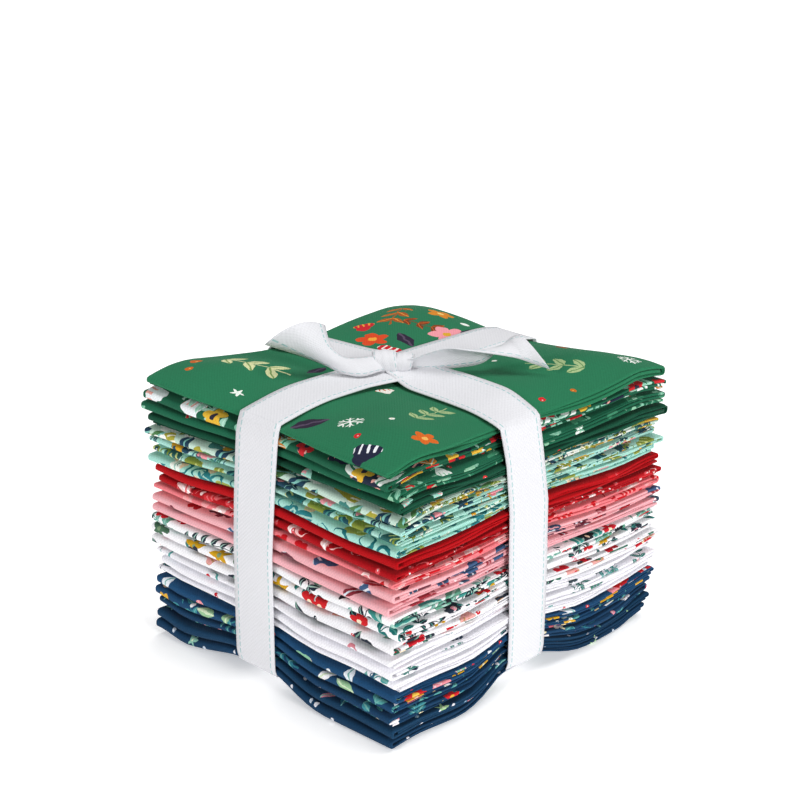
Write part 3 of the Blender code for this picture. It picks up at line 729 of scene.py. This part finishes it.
def add(tree, kind, *inputs, out=0, **settings):
    """Adds a shader node and gives one of its outputs, or all of them for None.

    A node's operation follows its kind, and stands alone for arithmetic. Inputs come in order or by their
    names, which start with a capital, and the other words are the node's own settings.
    """
    kind, _, operation = (f"Math {kind}" if kind.isupper() else kind).partition(" ")
    made = tree.nodes.new(f"ShaderNode{kind}")
    if operation:
        made.operation = operation
    for name, value in settings.items():
        if name[0].islower():
            setattr(made, name, value)
    for socket, value in zip([socket for socket in made.inputs if socket.enabled], inputs):
        fill(tree, socket, value)
    for name, value in settings.items():
        if name[0].isupper():
            fill(tree, made.inputs[name], value)
    return made.outputs if out is None else [socket for socket in made.outputs if socket.enabled][out]


def new_group(name, inputs, outputs):
    """An empty node group, what adds its nodes, and what comes into it."""
    tree = bpy.data.node_groups.new(name, "ShaderNodeTree")
    for way, sockets in (("INPUT", inputs), ("OUTPUT", outputs)):
        for label, kind in sockets.items():
            tree.interface.new_socket(label, in_out=way, socket_type=f"NodeSocket{kind}")
    return tree, partial(add, tree), tree.nodes.new("NodeGroupInput").outputs[: len(inputs)]


def close_group(tree, *results):
    """Links a node group's results to its end."""
    for socket, value in zip(tree.nodes.new("NodeGroupOutput").inputs, results):
        fill(tree, socket, value)
    return tree


def scatter_group():
    """Tosses a motif's places over the cloth, each turned its own way."""
    if "scatter" in bpy.data.node_groups:
        return bpy.data.node_groups["scatter"]
    inputs = {"Place": "Vector", "Cell": "Float", "Size": "Float", "Share": "Float", "Seed": "Vector"}
    outputs = {"Local": "Vector", "Present": "Float", "Pick": "Float"}
    tree, node, (place, cell, size, share, seed) = new_group("scatter", inputs, outputs)
    shrunk = node("VectorMath DIVIDE", place, node("CombineXYZ", cell, cell, cell))
    place = node("VectorMath ADD", shrunk, seed)
    cells = node("TexVoronoi", Vector=place, Scale=1.0, Randomness=TOSS, voronoi_dimensions="2D", out=None)
    off = node("VectorMath SUBTRACT", place, cells["Position"])
    flat = node("VectorMath MULTIPLY", off, (1.0, 1.0, 0.0))
    scaled = node("VectorMath SCALE", flat, node("DIVIDE", cell, size))
    way, chance, pick = node("SeparateColor", cells["Color"], out=None)
    turned = node("VectorRotate", Vector=scaled, Angle=node("MULTIPLY", way, TURN), rotation_type="Z_AXIS")
    return close_group(tree, turned, node("LESS_THAN", chance, share), pick)


def motif_group(kind):
    """One motif of radius 1: where it covers, and where its inside colour shows."""
    name = f"{kind} motif"
    if name in bpy.data.node_groups:
        return bpy.data.node_groups[name]
    tree, node, (local,) = new_group(name, {"Local": "Vector"}, {"Cover": "Float", "Inside": "Float"})
    x, y, _ = node("SeparateXYZ", local, out=None)
    far = node("VectorMath LENGTH", local)
    angle = node("ADD", node("ARCTAN2", y, x), TURN)
    beside = node("ABSOLUTE", y)
    return close_group(tree, *SHAPES[kind](node, x=x, y=y, far=far, angle=angle, beside=beside))


def berry(node, x, far, beside, **_):
    """A round berry with a small highlight."""
    spot = node("ADD", node("ABSOLUTE", node("SUBTRACT", x, 0.35)), beside)
    return node("LESS_THAN", far, 1.0), node("LESS_THAN", spot, 0.3)


def leaf(node, x, beside, **_):
    """A pointed leaf with its midrib."""
    width = node("MULTIPLY_ADD", node("MULTIPLY", x, x), -0.42, 0.42)
    return node("LESS_THAN", beside, width), node("LESS_THAN", beside, 0.07)


def sprig(node, x, beside, **_):
    """A stem with three pairs of slanting leaves."""
    pairs, slant = 1.5, math.radians(48.0)
    step = node("FRACT", node("MULTIPLY_ADD", x, pairs, 8.5))
    high = node("MULTIPLY", beside, pairs)
    along = node("MULTIPLY_ADD", high, math.sin(slant), node("MULTIPLY", step, math.cos(slant)))
    across = node("MULTIPLY_ADD", high, math.cos(slant), node("MULTIPLY", step, -math.sin(slant)))
    middle = node("MULTIPLY_ADD", along, 2.0, -1.0)
    width = node("MULTIPLY_ADD", node("MULTIPLY", middle, middle), -0.23, 0.23)
    off = node("ABSOLUTE", across)
    drawn = node("MAXIMUM", node("LESS_THAN", off, width), node("LESS_THAN", beside, 0.03))
    whole = node("LESS_THAN", node("ABSOLUTE", x), 1.0)
    return node("MULTIPLY", drawn, whole), node("LESS_THAN", off, 0.035)


def flower(node, far, angle, **_):
    """Five round petals and a centre."""
    petals = node("ABSOLUTE", node("COSINE", node("MULTIPLY", angle, 2.5)))
    edge = node("MULTIPLY_ADD", petals, 0.42, 0.58)
    return node("LESS_THAN", far, edge), node("LESS_THAN", far, 0.26)


def star(node, far, angle, **_):
    """A five-pointed star."""
    side = node("PINGPONG", angle, TURN / 10)
    point = node("POWER", node("MULTIPLY_ADD", side, -10 / TURN, 1.0), 1.5)
    edge = node("MULTIPLY_ADD", point, 0.64, 0.36)
    return node("LESS_THAN", far, edge), node("LESS_THAN", far, 0.16)


def flake(node, far, angle, **_):
    """A six-armed snowflake with a pair of barbs on each arm."""
    side = node("PINGPONG", angle, TURN / 12)
    along = node("MULTIPLY", far, node("COSINE", side))
    off = node("MULTIPLY", far, node("SINE", side))
    barb_off = node("ABSOLUTE", node("SUBTRACT", node("SUBTRACT", along, 0.5), off))
    barb = node("MULTIPLY", node("LESS_THAN", barb_off, 0.08), node("LESS_THAN", along, 0.82))
    drawn = node("MAXIMUM", node("LESS_THAN", off, 0.075), barb)
    return node("MULTIPLY", drawn, node("LESS_THAN", far, 1.0)), node("LESS_THAN", far, 0.12)


def arc(node, x, far, **_):
    """A curved brush stroke, in one colour."""
    off = node("ABSOLUTE", node("SUBTRACT", far, 0.8))
    stroke = node("LESS_THAN", off, node("MULTIPLY_ADD", x, 0.10, 0.12))
    return node("MULTIPLY", stroke, node("GREATER_THAN", x, -0.75)), node("LESS_THAN", far, 0.0)


def patch(node, x, y, far, angle, **_):
    """A rounded pebble with stripes across one half."""
    lobes = node("SINE", node("MULTIPLY_ADD", angle, 3.0, 0.7))
    edge = node("MULTIPLY_ADD", lobes, 0.16, 0.78)
    stripes = node("LESS_THAN", node("FRACT", node("MULTIPLY_ADD", x, 2.3, 9.0)), 0.34)
    return node("LESS_THAN", far, edge), node("MULTIPLY", stripes, node("GREATER_THAN", y, 0.05))


# Each print names its motifs by these.
SHAPES = {shape.__name__: shape for shape in (berry, leaf, sprig, flower, star, flake, arc, patch)}


def printed(node, under, motif, local, shown, picked, colours):
    """The cloth's colour with one motif printed over it, in its usual ink or, where picked, its other one."""
    usual, *other, within = (linear(text) for text in colours.split())
    cover, inside = node("Group", local, node_tree=motif_group(motif), out=None)
    if other:
        usual = node("Mix", picked, usual, *other, data_type="RGBA")
    inked = node("Mix", inside, usual, within, data_type="RGBA")
    return node("Mix", node("MULTIPLY", cover, shown), under, inked, data_type="RGBA")


def dress(made, surface):
    """Sets the inputs of a material's shader by their names."""
    shader = made.node_tree.nodes["Principled BSDF"]
    for name, value in surface.items():
        fill(made.node_tree, shader.inputs[name], value)


def new_cloth(name):
    """A new material, what adds its nodes, and the place on the flat cloth in mm."""
    made = bpy.data.materials.new(name)
    made.use_nodes = True
    node = partial(add, made.node_tree)
    return made, node, node("VectorMath SCALE", node("UVMap", uv_map="flat cloth"), 1 / MM)


def finish_cloth(made, node, colour, shade, bump, height, surface):
    """Shades a cloth's colour, raises its weave and sets how its surface takes the light."""
    tinted = node("VectorMath SCALE", colour, shade)
    raised = node("Bump", Strength=bump, Distance=WEAVE_DEEP * MM, Height=height)
    dress(made, {"Base Color": tinted, "Normal": raised, **surface})


def weave_height(node, place, pitch):
    """The over and under of a plain weave, from -1 to 1, its yarns this far apart in mm."""
    x, y, _ = node("SeparateXYZ", place, out=None)
    return node("MULTIPLY", *(node("SINE", node("MULTIPLY", way, math.pi / pitch)) for way in (x, y)))


def printed_cotton(number, top_at=None, chart=()):
    """Quilting cotton, plain woven and screen printed: matt, with a faint lint sheen and a fine grain."""
    row = PRINTS[number]
    made, node, place = new_cloth(f"printed cotton {row.name}")
    colour = linear(row.ground)
    # The printed outlines wander a little, as a drawn motif's do.
    stray = node("TexNoise", Vector=place, Scale=STRAY_SCALE, Detail=2.0, out=1)
    stray = node("VectorMath ADD", stray, (-0.5, -0.5, -0.5))
    drawn_at = node("VectorMath MULTIPLY_ADD", stray, (WANDER, WANDER, 0.0), place)
    for count, (motif, cell, size, share, colours) in enumerate(row.layers):
        seed = (3.7 * number + 1.3 * count, 2.1 * number + 5.9 * count, 0.0)
        tossed = node("Group", drawn_at, cell, size, share, seed, node_tree=scatter_group(), out=None)
        local, shown, pick = tossed
        colour = printed(node, colour, motif, local, shown, node("GREATER_THAN", pick, 0.5), colours)
    for spot in chart:
        # The top of the stack shows the cloth turned half round, so the plan runs against its flat place.
        off = node("VectorMath SUBTRACT", (top_at[0] - spot.x, top_at[1] - spot.y, 0.0), drawn_at)
        scaled = node("VectorMath SCALE", off, 1 / spot.size)
        local = node("VectorRotate", Vector=scaled, Angle=math.radians(-spot.angle), rotation_type="Z_AXIS")
        colour = printed(node, colour, spot.motif, local, 1.0, 0.0, spot.colours)
    weave = weave_height(node, place, YARN_PITCH)
    lint = node("TexNoise", Vector=place, Scale=LINT_SCALE, Detail=4.0, Roughness=0.7)
    worn = node("TexNoise", Vector=place, Scale=WORN_SCALE, Detail=2.0)
    shade = node("MULTIPLY_ADD", weave, 0.07, node("MULTIPLY_ADD", lint, 0.30, 0.79))
    shade = node("MULTIPLY_ADD", worn, 0.10, shade)
    height = node("MULTIPLY_ADD", weave, 0.5, lint)
    surface = {"Roughness": 0.9, "Specular IOR Level": 0.12, "Sheen Weight": 0.03, "Sheen Roughness": 0.5}
    finish_cloth(made, node, colour, shade, 0.5, height, surface)
    return made


def woven_ribbon(settings):
    """Cotton tape, tightly woven: white, fine cross ribs, and a dashed running stitch beside each edge."""
    made, node, place = new_cloth("woven cotton tape")
    along, across, _ = node("SeparateXYZ", place, out=None)
    off = node("ABSOLUTE", node("SUBTRACT", node("ABSOLUTE", across), RIBBON_WIDTH / 2 - STITCH_IN))
    line = node("LESS_THAN", off, STITCH_WIDE / 2)
    dash = node("LESS_THAN", node("FRACT", node("MULTIPLY", along, 1 / STITCH_PITCH)), STITCH_SHARE)
    stitch = node("MULTIPLY", node("MULTIPLY", line, dash), STITCH_INK)
    white, thread = (*settings.ribbon_colour, 1.0), (*settings.stitch_colour, 1.0)
    colour = node("Mix", stitch, white, thread, data_type="RGBA")
    weave = weave_height(node, place, RIB_PITCH)
    grain = node("TexNoise", Vector=place, Scale=GRAIN_SCALE, Detail=3.0)
    shade = node("MULTIPLY_ADD", weave, 0.035, node("MULTIPLY_ADD", grain, 0.14, 0.92))
    sunk = node("MULTIPLY_ADD", line, -1.2, node("MULTIPLY_ADD", weave, 0.6, grain))
    surface = {"Roughness": 0.8, "Specular IOR Level": 0.3, "Sheen Weight": 0.05}
    finish_cloth(made, node, colour, shade, 0.6, sunk, surface)
    return made


def hull(points):
    """The convex outline round points in a plane, in order."""
    ordered = sorted(map(tuple, points))
    outline = []
    for sweep in (ordered, ordered[::-1]):
        half = []
        for point in sweep:
            while len(half) > 1:
                a, b = half[-2], half[-1]
                if (b[0] - a[0]) * (point[1] - a[1]) - (b[1] - a[1]) * (point[0] - a[0]) > 0:
                    break
                half.pop()
            half.append(point)
        outline += half[:-1]
    return np.array(outline)


def stack_outline(index, over):
    """The stack's outline in the plane of a band, drawn taut."""
    half = (WIDTH, DEPTH)[index] / 2
    flat = np.linspace(-half + OUTLINE_IN, half - OUTLINE_IN, OUTLINE_POINTS)

    def place(along):
        along = np.asarray(along, float)
        there = np.full(along.shape, float(over))
        return (along, there) if index == 0 else (there, along)

    points = [np.c_[flat, level(len(CUTS), *place(flat))], np.c_[flat, base_height(*place(flat))]]
    for number in range(len(CUTS)):
        for side in (-half, half):
            reach = side + float(side_shift(number, *place(side))[index])
            low, high = (float(level(count, *place(reach))) for count in (number, number + 1))
            nose = (high - low) / 2 * NOSE_ROUND[index]
            inner = reach - math.copysign(nose, side)
            points.append([(reach, low + nose), (reach, high - nose), (inner, low), (inner, high)])
    return hull(np.vstack(points))


def ray_hits(outline, centre, ways):
    """How far each ray from centre goes before it leaves an outline."""
    side = np.roll(outline, -1, axis=0) - outline
    start = outline - centre
    area = ways[:, None, 0] * side[None, :, 1] - ways[:, None, 1] * side[None, :, 0]
    area[np.abs(area) < 1e-9] = 1e-9
    reach = (start[:, 0] * side[:, 1] - start[:, 1] * side[:, 0])[None] / area
    share = (start[None, :, 0] * ways[:, None, 1] - start[None, :, 1] * ways[:, None, 0]) / area
    hit = (reach > 0) & (share >= -1e-6) & (share <= 1 + 1e-6)
    return np.where(hit, reach, 1e9).min(axis=1)


def smoothed(values, rounds):
    """A closed row of numbers with its corners softened."""
    for _ in range(rounds):
        values = (np.roll(values, 1) + 2 * values + np.roll(values, -1)) / 4
    return values


def band(name, index, lap):
    """One loop of the ribbon round the stack: index 0 runs along X, 1 along Y."""
    cross = (RIBBON_Y, RIBBON_X)[index]
    knot_at = (RIBBON_X, RIBBON_Y)[index]
    centre = np.array((0.0, HEIGHT / 2))
    middle = stack_outline(index, cross)
    closed = np.vstack((middle, middle[:1]))
    lengths = travelled(closed)
    stops = np.linspace(0, lengths[-1], BAND_STEPS, endpoint=False)
    ways = np.c_[np.interp(stops, lengths, closed[:, 0]), np.interp(stops, lengths, closed[:, 1])] - centre
    ways /= np.hypot(*ways.T)[:, None]
    offsets = np.linspace(-1, 1, BAND_ACROSS)
    rows = []
    for offset in offsets:
        outline = stack_outline(index, cross + offset * RIBBON_WIDTH / 2)
        reach = ray_hits(outline, centre, ways)
        reach = np.maximum(smoothed(reach, BAND_SOFTENED), reach)
        path = centre + ways * reach[:, None]
        ahead = np.roll(path, -1, axis=0) - np.roll(path, 1, axis=0)
        away = np.c_[ahead[:, 1], -ahead[:, 0]] / np.hypot(*ahead.T)[:, None]
        rows.append(path + away * (RIBBON_CLEAR + lap + RIBBON_THICK / 2))
    grid = np.stack(rows, axis=1)
    top = (grid[:, :, 1] > HEIGHT - TIE_TOP) & (ways[:, 1] > 0)[:, None]
    near = ease(1 - np.abs(grid[:, :, 0] - knot_at) / TIE_REACH) * top
    pleats = TIE_PLEAT * np.cos(offsets * PLEATS * math.pi)[None, :] * near
    height = grid[:, :, 1] + TIE_LIFT[index] * near + pleats
    low, high = TIE_DRAW[index]
    drawn = (low * (1 - offsets) + high * (1 + offsets)) / 2
    over = cross + offsets[None, :] * RIBBON_WIDTH / 2 + drawn[None, :] * near
    if index == 0:
        rise = 2 * height / HEIGHT - 1
        stray = BAND_SWAY[0] + BAND_SWAY[1] * rise + BAND_SWAY[2] * rise**2
        over = over + stray * ease((grid[:, :, 0] - SWAY_FROM[0]) / SWAY_FROM[1])
    planes = (grid[:, :, 0], over) if index == 0 else (over, grid[:, :, 0])
    points = np.stack((*planes, height), axis=-1) - MIDDLE
    flat = grid_of(np.r_[stops, lengths[-1]], offsets * RIBBON_WIDTH / 2)
    return cloth_grid(name, points, flat, closed=True)


def spline(rows, count):
    """Points along a smooth curve through the rows of a table."""
    rows = np.array(rows, float)
    ends = np.vstack((2 * rows[0] - rows[1], rows, 2 * rows[-1] - rows[-2]))
    places = np.linspace(0, len(rows) - 1, count)
    index = np.minimum(places.astype(int), len(rows) - 2)
    t = (places - index)[:, None]
    a, b, c, d = (ends[index + n] for n in range(4))
    return 0.5 * (2 * b + (c - a) * t + (2 * a - 5 * b + 4 * c - d) * t**2 + (3 * b - a - 3 * c + d) * t**3)


def tape(name, rows):
    """A free end of the ribbon, smooth through the rows of its table."""
    smooth = spline(rows, TAPE_STEPS)
    near, far, arch = smooth[:, :3], smooth[:, 3:6], smooth[:, 6]
    middle = (near + far) / 2
    ahead = np.gradient(middle, axis=0)
    up = np.cross(far - near, ahead)
    up /= np.linalg.norm(up, axis=1)[:, None]
    up *= np.where(up[:, 2:] < 0, -1.0, 1.0)
    across = np.linspace(-1, 1, TAPE_ACROSS)
    bow = 1 - across**2
    points = near[:, None] + (far - near)[:, None] * (across[None, :, None] + 1) / 2
    points = points + up[:, None] * arch[:, None, None] * bow[None, :, None]
    return cloth_grid(name, points - MIDDLE, grid_of(travelled(middle), across * RIBBON_WIDTH / 2))


def wrap(name, row):
    """One gathered turn of the ribbon round the knot."""
    angles = np.linspace(0, TURN, WRAP_STEPS, endpoint=False)
    across = np.linspace(-1, 1, WRAP_ACROSS)
    side = np.array((math.cos(KNOT_TURN), math.sin(KNOT_TURN), 0.0))
    deep = np.array((-math.sin(KNOT_TURN), math.cos(KNOT_TURN), 0.0))
    up = np.array((0.0, 0.0, 1.0))
    barrel = 1 - BARREL * across**2 + GATHER * np.cos(across * GATHERS * math.pi)
    lean = math.tan(math.radians(row.lean)) * row.high * np.sin(angles)
    ring = np.cos(angles)[:, None] * row.deep * deep + np.sin(angles)[:, None] * row.high * up
    out = ring[:, None] * barrel[None, :, None]
    slide = row.along + across[None, :] * row.width / 2 + lean[:, None]
    points = KNOT_PLACE + up * row.rise + side * slide[..., None] + out
    length = np.linspace(0, TURN * row.high, len(angles) + 1)
    return cloth_grid(name, points - MIDDLE, grid_of(length, across * RIBBON_WIDTH / 2), closed=True)


class BUNDLE_OT_fold_cottons(bpy.types.Operator):
    """Fold every fat quarter of one colour group and lay it in its place in the stack"""

    bl_idname = "bundle.fold_cottons"
    bl_label = "Fold fat quarters"

    cloth: EnumProperty(
        name="Group",
        description="The colour group to fold",
        items=[(group.cloth, group.cloth.title(), f"The {group.cloth} prints") for group in GROUPS],
    )

    def execute(self, context):
        settings = context.scene.bundle
        names = [group.cloth for group in GROUPS for _ in range(group.cuts)]
        for number, cloth in enumerate(names):
            if cloth != self.cloth:
                continue
            points, flat = folded_cut(number, settings.cloth_thick / MM, settings.ripple)
            made = cloth_grid(f"cotton_{number + 1:02d}_{PRINTS[number].name}", points, flat)
            thicken(made, settings.cloth_thick)
            toss = (top_place(points, flat), TOP_CHART) if number == len(CUTS) - 1 else ()
            made.data.materials.append(printed_cotton(number, *toss))
            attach(made, "root")
            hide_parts(f"fat_quarter_{number + 1:02d}")
        return {"FINISHED"}


class BUNDLE_OT_tie_ribbon(bpy.types.Operator):
    """Tie the ribbon both ways round the stack, with its knot and its two free ends"""

    bl_idname = "bundle.tie_ribbon"
    bl_label = "Tie ribbon"

    def execute(self, context):
        settings = context.scene.bundle
        pieces = [band("tied_ribbon", 1, 0.0), band("band along x", 0, LAP)]
        pieces += [tape("right end", RIGHT_END), tape("left end", LEFT_END)]
        pieces += [wrap(f"wrap {count}", row) for count, row in enumerate(WRAPS)]
        for piece in pieces:
            thicken(piece, RIBBON_THICK * MM)
        select_only(*pieces)
        bpy.ops.object.join()
        made = pieces[0]
        made.data.materials.append(woven_ribbon(settings))
        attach(made, "root")
        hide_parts("ribbon")
        return {"FINISHED"}


class BUNDLE_OT_set_stage(bpy.types.Operator):
    """Lay the pale floor and set the soft light and the camera"""

    bl_idname = "bundle.set_stage"
    bl_label = "Set stage"

    def execute(self, context):
        settings = context.scene.bundle
        bpy.ops.object.select_all(action="DESELECT")
        bpy.ops.mesh.primitive_plane_add(size=FLOOR_SIZE, location=(0.0, 0.0, -FLOOR_UNDER))
        floor = context.object
        floor.name = "floor"
        # Matt white paper, with no shine. It is lit a little from below, as a photographer's table is, which
        # keeps the shadow faint.
        paper = bpy.data.materials.new("matt studio paper")
        paper.use_nodes = True
        surface = {"Base Color": (*settings.floor_colour, 1.0), "Roughness": 0.95, "Specular IOR Level": 0.1}
        glow = {"Emission Color": (1.0, 1.0, 1.0, 1.0), "Emission Strength": FLOOR_GLOW * settings.light}
        dress(paper, surface | glow)
        floor.data.materials.append(paper)
        world = bpy.data.worlds.new("studio")
        context.scene.world = world
        world.use_nodes = True
        sky = world.node_tree.nodes["Background"]
        sky.inputs["Color"].default_value = (1.0, 1.0, 1.0, 1.0)
        sky.inputs["Strength"].default_value = SKY_LIGHT * settings.light
        for row in LAMPS:
            bpy.ops.object.light_add(type="SUN", location=row.place)
            lamp = context.object
            lamp.name = row.name
            lamp.data.angle = math.radians(row.spread)
            lamp.data.energy = row.strength * settings.light
            way = Vector(CAMERA_AIM) - lamp.location
            lamp.rotation_euler = way.to_track_quat("-Z", "Y").to_euler()
        bpy.ops.object.camera_add()
        camera = context.object
        turned = Matrix.Rotation(CAMERA_AZIMUTH, 3, "Z")
        right = turned @ Vector((1.0, 0.0, 0.0))
        back = turned @ Vector((0.0, -math.cos(CAMERA_ELEVATION), math.sin(CAMERA_ELEVATION)))
        axes = Matrix((right, back.cross(right), back)).transposed().to_4x4()
        camera.matrix_world = Matrix.Translation(Vector(CAMERA_AIM) + back * CAMERA_DISTANCE) @ axes
        camera.data.lens = CAMERA_LENS
        camera.data.sensor_width = CAMERA_SENSOR
        camera.data.shift_x, camera.data.shift_y = CAMERA_SHIFT
        camera.data.clip_start = CAMERA_NEAR
        context.scene.camera = camera
        context.scene.view_settings.view_transform = "Standard"
        return {"FINISHED"}


class BUNDLE_PT_panel(bpy.types.Panel):
    """Lists the bundle's settings and its operators."""

    bl_idname = "BUNDLE_PT_panel"
    bl_label = "Fat quarter bundle"
    bl_space_type = "VIEW_3D"
    bl_region_type = "UI"
    bl_category = "Bundle"

    def draw(self, context):
        settings = context.scene.bundle
        for name in BundleSettings.__annotations__:
            self.layout.prop(settings, name)
        for group in GROUPS:
            fold = self.layout.operator(BUNDLE_OT_fold_cottons.bl_idname, text=f"Fold {group.cloth}")
            fold.cloth = group.cloth
        self.layout.operator(BUNDLE_OT_tie_ribbon.bl_idname)
        self.layout.operator(BUNDLE_OT_set_stage.bl_idname)


CLASSES = (BundleSettings, BUNDLE_OT_fold_cottons, BUNDLE_OT_tie_ribbon, BUNDLE_OT_set_stage, BUNDLE_PT_panel)


def register():
    for cls in CLASSES:
        bpy.utils.register_class(cls)
    bpy.types.Scene.bundle = PointerProperty(type=BundleSettings)


def unregister():
    del bpy.types.Scene.bundle
    for cls in reversed(CLASSES):
        bpy.utils.unregister_class(cls)


def main():
    register()
    for group in GROUPS:
        bpy.ops.bundle.fold_cottons(cloth=group.cloth)
    bpy.ops.bundle.tie_ribbon()
    bpy.ops.bundle.set_stage()


if __name__ == "__main__":
    main()
